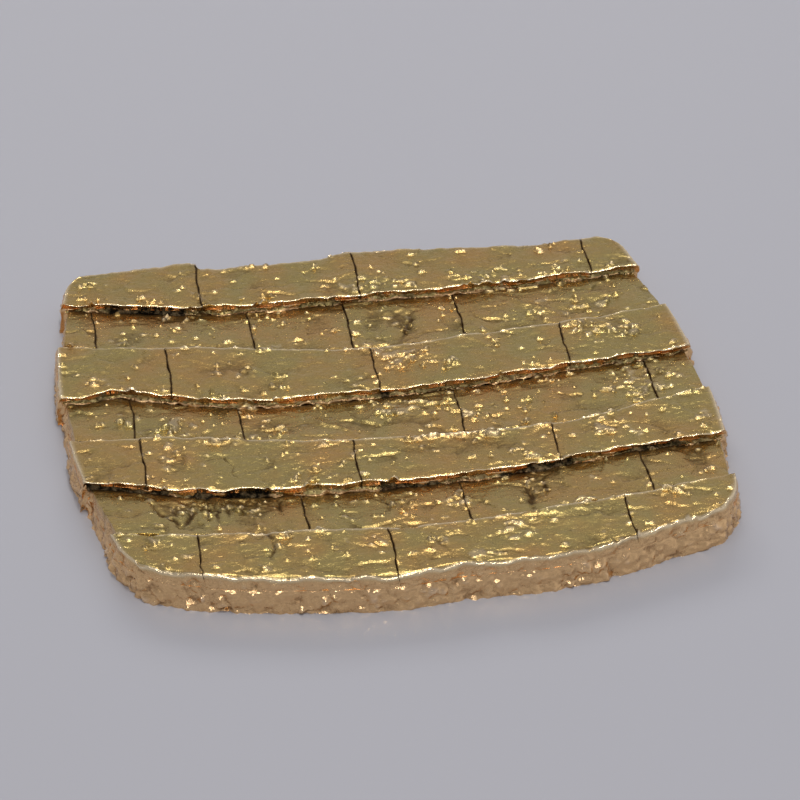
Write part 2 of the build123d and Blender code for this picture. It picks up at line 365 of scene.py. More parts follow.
def block(name, plan, top, bottom, rims, flare, wall_rows, marks=True, capped=False, dark_sides=(0, 0, 0, 0),
          bright_sides=(0, 0, 0, 0), gritty=(1.0, 1.0, 1.0, 1.0)):
    """A block on a plan: hewn top, rounded rims, walls that flare by (left, front, right, back), flat bottom.

    top(x, y, u, v) is the top's height. capped makes the hidden top one plain face."""
    rows, columns = len(plan["west"]) - 1, len(plan["north"]) - 1
    full = loop_of(plan)
    push = outward(full)
    side = loop_side(columns, rows)
    rim = np.array(rims, dtype=float)[side]
    inner = full - rim[:, None] * push
    west = inner[:rows + 1]
    south = inner[rows:rows + columns + 1]
    east = inner[rows + columns:2 * rows + columns + 1][::-1]
    north = np.concatenate([inner[:1], inner[2 * rows + columns:][::-1]])
    grid = coons(west, east, north, south)
    u = np.linspace(0, 1, columns + 1)[:, None] * np.ones((1, rows + 1))
    v = np.linspace(0, 1, rows + 1)[None, :] * np.ones((columns + 1, 1))
    index = np.arange((columns + 1) * (rows + 1)).reshape(columns + 1, rows + 1)
    ring = np.concatenate([index[0, :], index[1:, -1], index[-1, -2::-1], index[-2:0:-1, 0]])
    length = np.hypot(*(east - west).mean(0))
    depth = np.hypot(*(south - north).mean(0))

    x, y = grid[..., 0].ravel(), grid[..., 1].ravel()
    uu, vv = u.ravel(), v.ravel()
    rise, dark, chatter = hand_marks(x, y) if marks else (np.zeros_like(x), np.zeros_like(x), np.ones_like(x))
    z = top(x, y, uu, vv) + rise
    near = np.stack([uu * length, (1 - vv) * depth, (1 - uu) * length, vv * depth])
    bright = np.zeros_like(x)
    for k in range(4):
        if dark_sides[k]:
            dark = np.maximum(dark, np.exp(-(near[k] / dark_sides[k]) ** 1.5) * 0.9)
        if bright_sides[k]:
            bright = np.maximum(bright, np.exp(-(near[k] / bright_sides[k]) ** 2))
    verts = [np.stack([x, y, z], 1)]
    data = {"top": [np.ones_like(x)], "side": [np.zeros_like(x)], "dark": [dark], "bright": [bright],
            "chatter": [chatter], "gritty": [np.zeros_like(x)]}
    wall_grit = np.array(gritty, dtype=float)[side]
    open_side = (wall_grit > 0).astype(float)

    def add_ring(offset, heights, top_share, side_share, dark_share, bright_share):
        verts.append(np.column_stack([inner + push * offset[:, None], heights]))
        data["top"].append(top_share)
        data["side"].append(side_share * open_side)
        data["dark"].append(dark_share)
        data["bright"].append(bright_share)
        data["chatter"].append(ring_chatter)
        data["gritty"].append(wall_grit)

    ring_z, ring_dark, ring_bright, ring_chatter = z[ring], dark[ring], bright[ring], chatter[ring]
    one = np.ones(len(ring))
    lean = np.array(flare, dtype=float)[side]
    for angle in (30, 60, 90):
        a = math.radians(angle)
        add_ring(rim * math.sin(a), ring_z - rim * (1 - math.cos(a)), one,
                 (0.3 if marks else 1.0) * math.sin(a) * one, ring_dark, ring_bright)
    power = np.array([1.0, 0.7, 1.0, 1.0])[side]
    # walls of dark sides get 0.85: dark joint faces, and painted shade on a bed's back wall under the lip
    wall_dark = np.array([0.85 if d else 0.12 for d in dark_sides])[side]
    for row in range(1, wall_rows + 1):
        t = row / wall_rows
        height = (ring_z - rim) * (1 - t) + bottom * t
        fade = min(1.0, t * 3)
        add_ring(rim + lean * t ** power, height, (1 - t) * one, (0.3 + 0.7 * fade if marks else 1.0) * one,
                 ring_dark * (1 - fade) + wall_dark * fade, ring_bright * (1 - fade) ** 2)
    verts = np.concatenate(verts)
    count = len(ring)
    start = (columns + 1) * (rows + 1)
    rings = [ring] + [start + k * count + np.arange(count) for k in range(3 + wall_rows)]
    if capped:
        keep = np.concatenate([ring, np.arange(start, len(verts))])
        remap = -np.ones(len(verts), dtype=int)
        remap[keep] = np.arange(len(keep))
        faces = [remap[ring].tolist()]
        rings = [remap[r] for r in rings]
        verts = verts[keep]
    else:
        quads = np.stack([index[:-1, :-1], index[:-1, 1:], index[1:, 1:], index[1:, :-1]], -1).reshape(-1, 4)
        faces = quads.tolist()
        keep = None
    for upper, lower in zip(rings, rings[1:]):
        faces += np.stack([upper, lower, np.roll(lower, -1), np.roll(upper, -1)], -1).tolist()
    faces.append(rings[-1][::-1].tolist())
    values = {key: np.concatenate(parts) for key, parts in data.items()}
    if keep is not None:
        values = {key: part[keep] for key, part in values.items()}
    return smooth_mesh(name, verts, faces, values)


# -------------------- node helpers
def wire(tree, kind, values=None, **settings):
    """A node with its settings made and its inputs set or linked: values maps a socket to either."""
    node = tree.nodes.new(kind)
    for key, value in settings.items():
        setattr(node, key, value)
    for key, value in (values or {}).items():
        socket = node.inputs[key]
        if isinstance(value, bpy.types.NodeSocket):
            tree.links.new(value, socket)
        else:
            socket.default_value = value
    return node


def calc(tree, operation, *args, clamp=False):
    """A Math node's result."""
    node = wire(tree, "ShaderNodeMath", dict(enumerate(args)), operation=operation, use_clamp=clamp)
    return node.outputs[0]


def vec(tree, operation, *args):
    """A Vector Math node's vector result."""
    return wire(tree, "ShaderNodeVectorMath", dict(enumerate(args)), operation=operation).outputs["Vector"]


def scaled(tree, vector, factor):
    """A vector times a number."""
    return wire(tree, "ShaderNodeVectorMath", {0: vector, "Scale": factor}, operation="SCALE").outputs[0]


def spread(tree, value, low, high, least=0.0, most=1.0, **settings):
    """Maps low..high onto least..most."""
    values = {"Value": value, "From Min": low, "From Max": high, "To Min": least, "To Max": most}
    return wire(tree, "ShaderNodeMapRange", values, **settings).outputs[0]


def socket(tree, name, kind, default=None, output=False):
    """A named socket on a node group."""
    item = tree.interface.new_socket(name=name, in_out="OUTPUT" if output else "INPUT", socket_type=kind)
    if default is not None:
        item.default_value = default
    return item


def named_value(tree, name):
    """A named attribute's number, in a geometry tree."""
    node = wire(tree, "GeometryNodeInputNamedAttribute", {"Name": name}, data_type="FLOAT")
    return next(o for o in node.outputs if o.enabled and o.name == "Attribute")


# -------------------- the hewn skin
def hewn_skin():
    """Geometry tree: roughens a block's top and walls the way chisel, mould and file leave them."""
    tree = bpy.data.node_groups.new("hewn skin", "GeometryNodeTree")
    socket(tree, "Geometry", "NodeSocketGeometry")
    for name, value in (("Swell", 0.12), ("Swell Size", 9.0), ("Facet", 0.10), ("Facet Size", 3.2),
                        ("Chatter", 0.42), ("Chatter Size", 1.15), ("Grit", 0.31), ("Grit Size", 1.2),
                        ("Bulge", 0.42), ("Bulge Size", 5.0), ("Ripple", 0.06), ("Seed", 1.0)):
        socket(tree, name, "NodeSocketFloat", value)
    socket(tree, "Material", "NodeSocketMaterial")
    socket(tree, "Geometry", "NodeSocketGeometry", output=True)
    given = wire(tree, "NodeGroupInput").outputs
    place = scaled(tree, wire(tree, "GeometryNodeInputPosition").outputs[0], 1 / MM)
    seed = given["Seed"]

    def per(size):
        """A texture's scale from the size of its features."""
        return calc(tree, "DIVIDE", 1.0, size)

    def noise(size, detail, offset, stretch=(1, 1, 1), own=True):
        """A noise node. own gives each piece a pattern of its own."""
        return wire(tree, "ShaderNodeTexNoise", {
            "Vector": vec(tree, "MULTIPLY", place, stretch), "Scale": per(size), "Detail": detail,
            "Roughness": 0.5, "W": calc(tree, "ADD", seed, offset) if own else offset}, noise_dimensions="4D")

    def level_noise(*args, **settings):
        """Noise from -0.5 to 0.5."""
        return calc(tree, "SUBTRACT", noise(*args, **settings).outputs[0], 0.5)

    def times(value, other, factor=1.0):
        """A value times another, which is first scaled by factor."""
        if factor != 1.0:
            other = calc(tree, "MULTIPLY", other, factor)
        return calc(tree, "MULTIPLY", value, other)

    def keep(geometry, name, value):
        """Stores a value on the points."""
        return wire(tree, "GeometryNodeStoreNamedAttribute", {
            "Geometry": geometry, "Name": name, "Value": value}, data_type="FLOAT", domain="POINT").outputs[0]

    swell = times(level_noise(given["Swell Size"], 1.0, 0.0), given["Swell"], 4.0)
    # facets: each cell of a warped Voronoi pattern leans its own way
    warp = vec(tree, "SUBTRACT", noise(given["Facet Size"], 2.0, 11.0).outputs["Color"], (0.5, 0.5, 0.5))
    bent = scaled(tree, warp, 2.6)
    elsewhere = wire(tree, "ShaderNodeCombineXYZ", {
        "X": calc(tree, "MULTIPLY", seed, 13.7), "Y": calc(tree, "MULTIPLY", seed, 7.3),
        "Z": calc(tree, "MULTIPLY", seed, 3.1)}).outputs[0]
    shifted = vec(tree, "ADD", place, elsewhere)
    warped = vec(tree, "MULTIPLY", vec(tree, "ADD", shifted, bent), (0.6, 1.0, 0.35))
    cell = wire(tree, "ShaderNodeTexVoronoi", {
        "Vector": warped, "Scale": per(given["Facet Size"]), "Randomness": 1.0},
        voronoi_dimensions="2D", feature="F1")
    from_middle = vec(tree, "SUBTRACT", warped, cell.outputs["Position"])
    within = scaled(tree, vec(tree, "MULTIPLY", from_middle, (1.0, 1.0, 0.0)), per(given["Facet Size"]))
    leaning = vec(tree, "SUBTRACT", cell.outputs["Color"], (0.5, 0.5, 0.5))
    dot = wire(tree, "ShaderNodeVectorMath", {0: within, 1: leaning}, operation="DOT_PRODUCT")
    lean = dot.outputs["Value"]
    facet = times(lean, given["Facet"], 3.0)
    # chatter: small uneven lumps where the tool skipped, thicker on the ground in chattered patches
    lumps = noise(given["Chatter Size"], 1.5, 23.0, (0.7, 1.15, 0.6)).outputs[0]
    least = calc(tree, "MULTIPLY_ADD", named_value(tree, "chatter"), -0.17, 0.648)
    drop = spread(tree, lumps, least, calc(tree, "ADD", least, 0.095), interpolation_type="SMOOTHSTEP")
    uneven = calc(tree, "MULTIPLY_ADD", noise(3.0, 0.0, 29.0).outputs[0], 2.4, -0.4)
    chatter = times(drop, times(uneven, given["Chatter"]))
    ripple = times(level_noise(1.7, 3.0, 71.0, (0.7, 1.0, 1.0)), given["Ripple"])
    shiver = times(level_noise(0.65, 1.0, 77.0, (0.6, 1.0, 1.0)), given["Ripple"], 0.75)
    crinkle = times(level_noise(1.0, 2.0, 83.0, (0.8, 1.1, 0.6)), named_value(tree, "chatter"), 0.80)
    facet = calc(tree, "ADD", facet, calc(tree, "ADD", crinkle, calc(tree, "ADD", ripple, shiver)))
    total = calc(tree, "ADD", swell, calc(tree, "ADD", facet, chatter))
    lift = times(total, named_value(tree, "top"))
    # walls: broad bulges, and grit that thickens towards the foot. Every piece shares them, so they run on
    wall_warp = vec(tree, "SUBTRACT", noise(3.2, 2.0, 11.0, own=False).outputs["Color"], (0.5, 0.5, 0.5))
    grit_cell = wire(tree, "ShaderNodeTexVoronoi", {
        "Vector": vec(tree, "ADD", place, wall_warp), "Smoothness": 0.25,
        "Scale": per(given["Grit Size"]), "Randomness": 1.0},
        voronoi_dimensions="3D", feature="SMOOTH_F1")
    crease = calc(tree, "ABSOLUTE", level_noise(1.7, 2.5, 91.0, own=False))
    fine = calc(tree, "SUBTRACT", crease, 0.09)
    grit = calc(tree, "MULTIPLY_ADD", fine, 3.4, calc(tree, "SUBTRACT", 0.5, grit_cell.outputs["Distance"]))
    grit = times(grit, given["Grit"])
    low = spread(tree, wire(tree, "ShaderNodeSeparateXYZ", {0: place}).outputs["Z"], 4.2, 1.7, 0.35, 1.0)
    clump = spread(tree, noise(3.0, 1.0, 37.0, own=False).outputs[0], 0.35, 0.6, 0.55, 1.5)
    grit = times(times(times(grit, low), clump, 2.0), named_value(tree, "gritty"))
    bulge = times(level_noise(given["Bulge Size"], 3.0, 51.0, own=False), given["Bulge"], 3.0)
    out = times(calc(tree, "ADD", grit, bulge), named_value(tree, "side"))
    flat_normal = vec(tree, "MULTIPLY", wire(tree, "GeometryNodeInputNormal").outputs[0], (MM, MM, 0.0))
    sideways = scaled(tree, flat_normal, out)
    upward = wire(tree, "ShaderNodeCombineXYZ", {"Z": calc(tree, "MULTIPLY", lift, MM)}).outputs[0]
    moved = wire(tree, "GeometryNodeSetPosition", {
        "Geometry": given["Geometry"], "Offset": vec(tree, "ADD", sideways, upward)}).outputs[0]
    # pits and low ground collect patina, and the dark value adds painted shade under the lips; crests and
    # lump tops are made bright, partly rubbed wear, partly painted highlight
    sunken = calc(tree, "SUBTRACT", facet, calc(tree, "MULTIPLY", chatter, 0.3))
    pit = times(spread(tree, sunken, -0.01, -0.14, 0.0, 0.45), named_value(tree, "top"))
    wall_pit = times(spread(tree, grit, -0.05, -0.28, 0.0, 0.4), named_value(tree, "side"))
    gathered = calc(tree, "MAXIMUM", named_value(tree, "dark"), calc(tree, "MAXIMUM", pit, wall_pit))
    stored = keep(moved, "hollow", gathered)
    # wall crests get the light rubbed colour: partly wear, partly painted highlight
    crest = times(spread(tree, grit, 0.05, 0.40, 0.0, 0.45), named_value(tree, "side"))
    # lump tops too: partly polish, partly a painted highlight that whitens their glints
    polish_and_highlight = calc(tree, "MULTIPLY", times(drop, named_value(tree, "top")), 0.34)
    rubbed_and_highlight = calc(tree, "MAXIMUM", calc(tree, "MAXIMUM", named_value(tree, "bright"), crest), polish_and_highlight)
    stored = keep(stored, "bright", rubbed_and_highlight)
    real = wire(tree, "GeometryNodeRealizeInstances", {"Geometry": stored}).outputs[0]
    done = wire(tree, "GeometryNodeSetMaterial", {"Geometry": real, "Material": given["Material"]}).outputs[0]
    wire(tree, "NodeGroupOutput", {0: done})
    return tree


def bead_row():
    """Geometry tree: scatters small beads of braze over a seam and joins them to it."""
    tree = bpy.data.node_groups.new("bead row", "GeometryNodeTree")
    socket(tree, "Geometry", "NodeSocketGeometry")
    for name, value in (("Bead Size", 0.20), ("Beads", 3.2), ("Seed", 1.0)):
        socket(tree, name, "NodeSocketFloat", value)
    socket(tree, "Material", "NodeSocketMaterial")
    socket(tree, "Geometry", "NodeSocketGeometry", output=True)
    given = wire(tree, "NodeGroupInput").outputs
    points = wire(tree, "GeometryNodeDistributePointsOnFaces", {
        "Mesh": given["Geometry"], "Density": calc(tree, "MULTIPLY", given["Beads"], MM ** -2),
        "Selection": calc(tree, "GREATER_THAN", named_value(tree, "top"), 0.3),
        "Seed": given["Seed"]}).outputs["Points"]
    bead = wire(tree, "GeometryNodeMeshIcoSphere", {
        "Radius": calc(tree, "MULTIPLY", given["Bead Size"], MM), "Subdivisions": 2}).outputs[0]
    turn = wire(tree, "FunctionNodeRandomValue", {"Seed": 3}, data_type="FLOAT_VECTOR")
    turn.inputs[0].default_value = (0, 0, 0)
    turn.inputs[1].default_value = (3, 3, 3)
    grow = wire(tree, "FunctionNodeRandomValue", {"Seed": 5}, data_type="FLOAT_VECTOR")
    grow.inputs[0].default_value = (0.45, 0.45, 0.35)
    grow.inputs[1].default_value = (1.35, 1.15, 0.95)
    strewn = wire(tree, "GeometryNodeInstanceOnPoints", {
        "Points": points, "Instance": bead, "Rotation": turn.outputs[0], "Scale": grow.outputs[0]}).outputs[0]
    beads = wire(tree, "GeometryNodeRealizeInstances", {"Geometry": strewn}).outputs[0]
    shade = wire(tree, "FunctionNodeRandomValue", {"Seed": 9}, data_type="FLOAT")
    # the seam's dark value is painted shade under the lip; the random part is the beads' own tone
    seam_shade_part = calc(tree, "MULTIPLY", named_value(tree, "dark"), 0.8)
    darkness = calc(tree, "MULTIPLY_ADD", shade.outputs[1], 0.35, seam_shade_part)
    beads = wire(tree, "GeometryNodeStoreNamedAttribute", {
        "Geometry": beads, "Name": "hollow", "Value": darkness}, data_type="FLOAT", domain="POINT").outputs[0]
    joined = tree.nodes.new("GeometryNodeJoinGeometry")
    tree.links.new(beads, joined.inputs[0])
    tree.links.new(given["Geometry"], joined.inputs[0])
    smooth = wire(tree, "GeometryNodeSetShadeSmooth", {"Geometry": joined.outputs[0]}).outputs[0]
    real = wire(tree, "GeometryNodeRealizeInstances", {"Geometry": smooth}).outputs[0]
    done = wire(tree, "GeometryNodeSetMaterial", {"Geometry": real, "Material": given["Material"]}).outputs[0]
    wire(tree, "NodeGroupOutput", {0: done})
    return tree


def apply_tree(obj, tree, **values):
    """Runs a geometry tree on an object and keeps the result as its plain mesh."""
    modifier = obj.modifiers.new(tree.name, "NODES")
    modifier.node_group = tree
    for item in tree.interface.items_tree:
        if item.in_out == "INPUT" and item.name in values:
            modifier[item.identifier] = values[item.name]
    settle(obj)


def settle(obj):
    """Replaces an object's mesh by its evaluated one and drops its modifiers."""
    bpy.context.view_layer.update()
    result = bpy.data.meshes.new_from_object(obj.evaluated_get(bpy.context.evaluated_depsgraph_get()))
    obj.modifiers.clear()
    old = obj.data
    obj.data = result
    bpy.data.meshes.remove(old)
    obj.data.name = obj.name


# -------------------- materials
def grain_group():
    """Shader group: fine drawn streaks and specks of the metal's skin."""
    tree = bpy.data.node_groups.new("metal grain", "ShaderNodeTree")
    for name, kind, value in (("Place", "NodeSocketVector", None), ("Streak Size", "NodeSocketFloat", 0.5),
                              ("Speck Size", "NodeSocketFloat", 0.35)):
        socket(tree, name, kind, value)
    for name in ("Streaks", "Specks", "Clouds"):
        socket(tree, name, "NodeSocketFloat", output=True)
    given = wire(tree, "NodeGroupInput").outputs
    mm_place = scaled(tree, given["Place"], 1 / MM)
    bend = wire(tree, "ShaderNodeTexNoise", {"Vector": mm_place, "Scale": 0.12, "Detail": 1.0})
    swirl = scaled(tree, vec(tree, "SUBTRACT", bend.outputs["Color"], (0.5, 0.5, 0.5)), 3.0)
    long_way = vec(tree, "MULTIPLY", vec(tree, "ADD", mm_place, swirl), (0.40, 1.0, 1.0))
    streaks = wire(tree, "ShaderNodeTexNoise", {
        "Vector": long_way, "Scale": calc(tree, "DIVIDE", 1.0, given["Streak Size"]), "Detail": 3.0,
        "Roughness": 0.6}).outputs[0]
    specks = wire(tree, "ShaderNodeTexNoise", {
        "Vector": mm_place, "Scale": calc(tree, "DIVIDE", 1.0, given["Speck Size"]), "Detail": 4.0,
        "Roughness": 0.65}).outputs[0]
    clouds = wire(tree, "ShaderNodeTexNoise", {"Vector": mm_place, "Scale": 0.14, "Detail": 3.0}).outputs[0]
    wire(tree, "NodeGroupOutput", {"Streaks": streaks, "Specks": specks, "Clouds": clouds})
    return tree


def patina_and_light_group():
    """Shader group: darkens hollows and joints with patina and painted shade, lays a light colour on rims and
    crests as rubbed wear and painted highlight, and tints walls with a painted reflection tone.
    """
    tree = bpy.data.node_groups.new("patina wear and painted light", "ShaderNodeTree")
    for name, color in (("Clean", (0.6, 0.4, 0.16, 1)), ("Warm", (0.6, 0.3, 0.1, 1)),
                        ("Tarnish And Shade", (0.05, 0.03, 0.01, 1)), ("Rubbed And Highlight", (0.9, 0.6, 0.3, 1)),
                        ("Wall Reflection Tone", (0.86, 0.56, 0.28, 1))):
        socket(tree, name, "NodeSocketColor", color)
    for name, value in (("Wall", 0.0), ("Hollow", 0.0), ("Rim", 0.0), ("Clouds", 0.5), ("Specks", 0.5),
                        ("Streaks", 0.5), ("Smooth", 0.28), ("Dull", 0.5)):
        socket(tree, name, "NodeSocketFloat", value)
    socket(tree, "Color", "NodeSocketColor", output=True)
    socket(tree, "Roughness", "NodeSocketFloat", output=True)
    given = wire(tree, "NodeGroupInput").outputs

    def blend(share, a, b):
        node = wire(tree, "ShaderNodeMix", {"Factor": share}, data_type="RGBA")
        for name, value in (("A", a), ("B", b)):
            target = next(i for i in node.inputs if i.name == name and i.type == "RGBA")
            tree.links.new(value, target)
        return next(o for o in node.outputs if o.type == "RGBA")

    def off_level(name, level):
        """How far one of the grain's values is above a level."""
        return calc(tree, "SUBTRACT", given[name], level)

    warm = spread(tree, given["Clouds"], 0.38, 0.68)
    # walls take the wall tone: a painted reflection, warmer and lighter than the tops
    base = blend(given["Wall"], blend(warm, given["Clean"], given["Warm"]), given["Wall Reflection Tone"])
    uneven = calc(tree, "ADD", off_level("Specks", 0.5), given["Hollow"])
    uneven = calc(tree, "MULTIPLY_ADD", off_level("Streaks", 0.5), 0.5, uneven)
    # tarnish darkens specks, streaks and the hollow value, which holds patina and painted shade
    tarnish_and_shade = spread(tree, uneven, 0.02, 0.90, interpolation_type="SMOOTHSTEP")
    darker = blend(tarnish_and_shade, base, given["Tarnish And Shade"])
    # the rim value lays on the rubbed colour: rubbed wear and painted highlight
    rubbed_and_highlight = calc(tree, "MULTIPLY", given["Rim"], calc(tree, "ADD", 0.35, given["Specks"]), clamp=True)
    color = blend(rubbed_and_highlight, darker, given["Rubbed And Highlight"])
    rough = calc(tree, "MULTIPLY_ADD", off_level("Streaks", 0.4), 0.25, given["Smooth"])
    rough = calc(tree, "MULTIPLY_ADD", tarnish_and_shade, given["Dull"], rough)
    rough = calc(tree, "SUBTRACT", rough, calc(tree, "MULTIPLY", rubbed_and_highlight, 0.14), clamp=True)
    wire(tree, "NodeGroupOutput", {"Color": color, "Roughness": rough})
    return tree


def brass(name, clean, warm, tarnish_and_shade, rubbed_and_highlight, smooth, dull, streak, speck, streak_depth, speck_depth):
    """A brass finish: its colours, its roughness, and the size and depth of its grain."""
    material = bpy.data.materials.new(name)
    material.use_nodes = True
    tree = material.node_tree
    tree.nodes.clear()
    place = wire(tree, "ShaderNodeTexCoord").outputs["Object"]
    hollow = wire(tree, "ShaderNodeAttribute", attribute_name="hollow").outputs["Fac"]
    rim = wire(tree, "ShaderNodeAttribute", attribute_name="bright").outputs["Fac"]
    wall = wire(tree, "ShaderNodeAttribute", attribute_name="side").outputs["Fac"]
    grain = tree.nodes.new("ShaderNodeGroup")
    grain.node_tree = bpy.data.node_groups["metal grain"]
    tree.links.new(place, grain.inputs["Place"])
    grain.inputs["Streak Size"].default_value = streak
    grain.inputs["Speck Size"].default_value = speck
    skin = tree.nodes.new("ShaderNodeGroup")
    skin.node_tree = bpy.data.node_groups["patina wear and painted light"]
    for key, value in (("Clean", clean), ("Warm", warm), ("Tarnish And Shade", tarnish_and_shade), ("Rubbed And Highlight", rubbed_and_highlight)):
        skin.inputs[key].default_value = (*value, 1)
    skin.inputs["Smooth"].default_value = smooth
    skin.inputs["Dull"].default_value = dull
    for key, value in (("Hollow", hollow), ("Rim", rim), ("Wall", wall), ("Clouds", grain.outputs["Clouds"]),
                       ("Specks", grain.outputs["Specks"]), ("Streaks", grain.outputs["Streaks"])):
        tree.links.new(value, skin.inputs[key])
    streaks = wire(tree, "ShaderNodeBump", {
        "Height": grain.outputs["Streaks"], "Strength": 1.0, "Distance": streak_depth * MM})
    specks = wire(tree, "ShaderNodeBump", {
        "Height": grain.outputs["Specks"], "Normal": streaks.outputs[0], "Strength": 1.0,
        "Distance": speck_depth * MM})
    shader = wire(tree, "ShaderNodeBsdfPrincipled", {
        "Base Color": skin.outputs["Color"], "Roughness": skin.outputs["Roughness"], "Metallic": 1.0,
        "Normal": specks.outputs[0]})
    wire(tree, "ShaderNodeOutputMaterial", {"Surface": shader.outputs[0]})
    return material


grain_group()
patina_and_light_group()
block_brass = brass("block_brass", (0.475, 0.362, 0.130), (0.57, 0.348, 0.119), (0.10, 0.055, 0.018),
                    (0.98, 0.80, 0.52), 0.21, 0.30, 0.45, 0.32, 0.05, 0.07)
# the slab shows only walls, so its brass carries the walls' painted reflection tone, warmer and lighter than
# the blocks'
slab_brass = brass("slab_brass", (0.86, 0.55, 0.29), (0.86, 0.51, 0.27), (0.22, 0.11, 0.05),
                   (0.99, 0.80, 0.60), 0.17, 0.30, 0.6, 0.30, 0.03, 0.03)
braze_metal = brass("braze_metal", (0.36, 0.28, 0.11), (0.32, 0.23, 0.09), (0.012, 0.010, 0.008),
                    (0.7, 0.52, 0.28), 0.34, 0.35, 0.4, 0.25, 0.02, 0.03)

# -------------------- build the courses
skin_tree = hewn_skin()
bead_tree = bead_row()


def finish_piece(obj, node):
    obj.data.set_sharp_from_angle(angle=math.radians(60))
    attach(obj, "root")
    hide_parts(node)


def lip_top(tier, number, plan):
    """A lip block's top: nearly flat, a little out of level, its front edge lifted in long waves."""
    rng = np.random.default_rng(100 * tier + number)
    lean_x, lean_y, level = rng.uniform(-0.004, 0.004), rng.uniform(-0.006, 0.006), rng.uniform(-0.06, 0.06)
    cx, cy = plan["south"][:, 0].mean(), plan["west"][:, 1].mean()
    roll_width, roll_wander, roll_drop = (0.34, 0.16, 0.8) if tier == FRONT_TIER else (0.14, 0.07, 0.5)

    def height(x, y, u, v):
        from_front, from_back = (1 - v) * LIP_DEPTH, v * LIP_DEPTH
        near_front, near_back = np.exp(-(from_front / 0.9) ** 1.3), np.exp(-(from_back / 0.8) ** 1.3)
        z = HEIGHT - TOP_DROP + level + (x - cx) * lean_x + (y - cy) * lean_y
        z = z + near_front * (waver(x, 8.0, 0.14, 40 + tier) + waver(x, 1.5, 0.02, 45 + tier))
        z = z + near_back * (0.04 + waver(x, 5.0, 0.10, 60 + tier))
        roll = roll_width + waver(x, 4.0, roll_wander, 70 + tier)
        return z - roll_drop * np.clip(roll - from_front, 0, None) ** 2 / np.maximum(roll, 0.05)
    return height


def bed_top(tier, number, plan):
    """A bed block's top: it slopes down to the back, a little crowned."""
    rng = np.random.default_rng(300 * tier + number)
    level = rng.uniform(-0.05, 0.05)
    tilt = rng.uniform(-0.010, 0.010)
    cx = plan["south"][:, 0].mean()

    def height(x, y, u, v):
        slope = BED_BACK_TOP + (BED_FRONT_TOP - BED_BACK_TOP) * v
        return slope + BED_CROWN * np.sin(math.pi * np.clip(v, 0, 1) ** 0.6) + level + tilt * (x - cx)
    return height


def plain_top(height):
    return lambda x, y, u, v: np.full_like(x, height)


def by_side(plan, end, joint, front, back):
    """A value for each side of a block, (left, front, right, back): end is for the course's open ends."""
    return end if plan["first"] else joint, front, end if plan["last"] else joint, back


def wavy(line, seed, amount, length=9.0):
    """A course line that also wanders in short waves."""
    return lambda x: line(x) + waver(np.asarray(x, dtype=float), length, amount, seed)


for tier, joints in LIP_JOINTS.items():
    back = step_line(tier, -0.15) if tier > 1 else None
    front = wavy(lip_line(tier), 20 + tier, 0.10, 5.0) if tier < FRONT_TIER else None
    # the front tier's blocks are thick and rounded, the others are undercut
    seat, front_rim, front_flare, front_bright, front_grit, wall_rows = (
        (FRONT_SEAT, 0.18, 0.30, 0.10, 1.0, 9) if tier == FRONT_TIER else (SEAT, 0.06, -0.50, 0.02, 0.25, 5))
    back_flare, back_grit = (0.25, 1.0) if tier == 1 else (0.0, 0.0)
    plans = course_plans(back, front, LIP_INSET, joints, JOINT_GAP, GRID, 1000 * tier)
    for number, plan in enumerate(plans, 1):
        node = f"tier{tier}_lip_block_{number}"
        piece = block("hewn_" + node, plan, lip_top(tier, number, plan), seat,
                      by_side(plan, 0.18, 0.06, front_rim, 0.12),
                      by_side(plan, 0.25, 0.0, front_flare, back_flare), wall_rows,
                      dark_sides=by_side(plan, 0.0, 0.15, 0.0, 0.0),
                      # bright ends, front and back: partly rubbed wear, partly painted highlight
                      bright_sides=by_side(plan, 0.35, 0.0, front_bright, 0.25),
                      gritty=by_side(plan, 1.0, 0.0, front_grit, back_grit))
        apply_tree(piece, skin_tree, Swell=0.13, Facet=0.10, Ripple=0.20, Seed=3.1 * number + 17.0 * tier,
                   Material=block_brass)
        finish_piece(piece, node)

for tier, joints in BED_JOINTS.items():
    back = lip_line(tier - 1, 0.3)
    front = step_line(tier, -0.05)
    plans = course_plans(back, front, BED_INSET, joints, JOINT_GAP, GRID, 5000 + 1000 * tier)
    for number, plan in enumerate(plans, 1):
        node = f"tier{tier}_bed_block_{number}"
        piece = block("hewn_" + node, plan, bed_top(tier, number, plan), BED_FLOOR,
                      by_side(plan, 0.14, 0.06, 0.05, 0.05), by_side(plan, 0.4, 0.0, 0.0, 0.0), 8,
                      # a bed's back edge is darkened 1.3 mm in: painted shade under the lip above, partly
                      # patina
                      dark_sides=by_side(plan, 0.0, 0.15, 0.0, 1.3), gritty=by_side(plan, 1.0, 0.0, 0.0, 0.0))
        apply_tree(piece, skin_tree, Swell=0.18, Facet=0.13, Ripple=0.24, Seed=5.3 * number + 29.0 * tier,
                   Material=block_brass)
        finish_piece(piece, node)

# -------------------- the slab under them
slab_bits = []
for tier in LIP_JOINTS:
    back = step_line(tier) if tier > 1 else None
    front = wavy(lip_line(tier, LIP_OVERHANG), 20 + tier, 0.12) if tier < FRONT_TIER else None
    seat, front_flare = (FRONT_SEAT, 0.95) if tier == FRONT_TIER else (SEAT, 0.0)
    plan = course_plans(back, front, LAND_INSET, (), 0, WALL_GRID, 0)[0]
    slab_bits.append(block(f"land_{tier}", plan, plain_top(seat), 0.0, (0.05, 0.04, 0.05, 0.05),
                           (0.3, front_flare, 0.5, 0.8 if tier == 1 else 0.0), 18, marks=False, capped=True))
for tier in BED_JOINTS:
    plan = course_plans(lip_line(tier - 1, 1.6), step_line(tier, -0.8), PLATE_INSET, (), 0, WALL_GRID, 0)[0]
    slab_bits.append(block(f"plate_{tier}", plan, plain_top(BED_FLOOR - 0.02), 0.0, (0.04, 0.1, 0.04, 0.1),
                           (0.5, 0.0, 0.8, 0.0), 9, marks=False, capped=True))
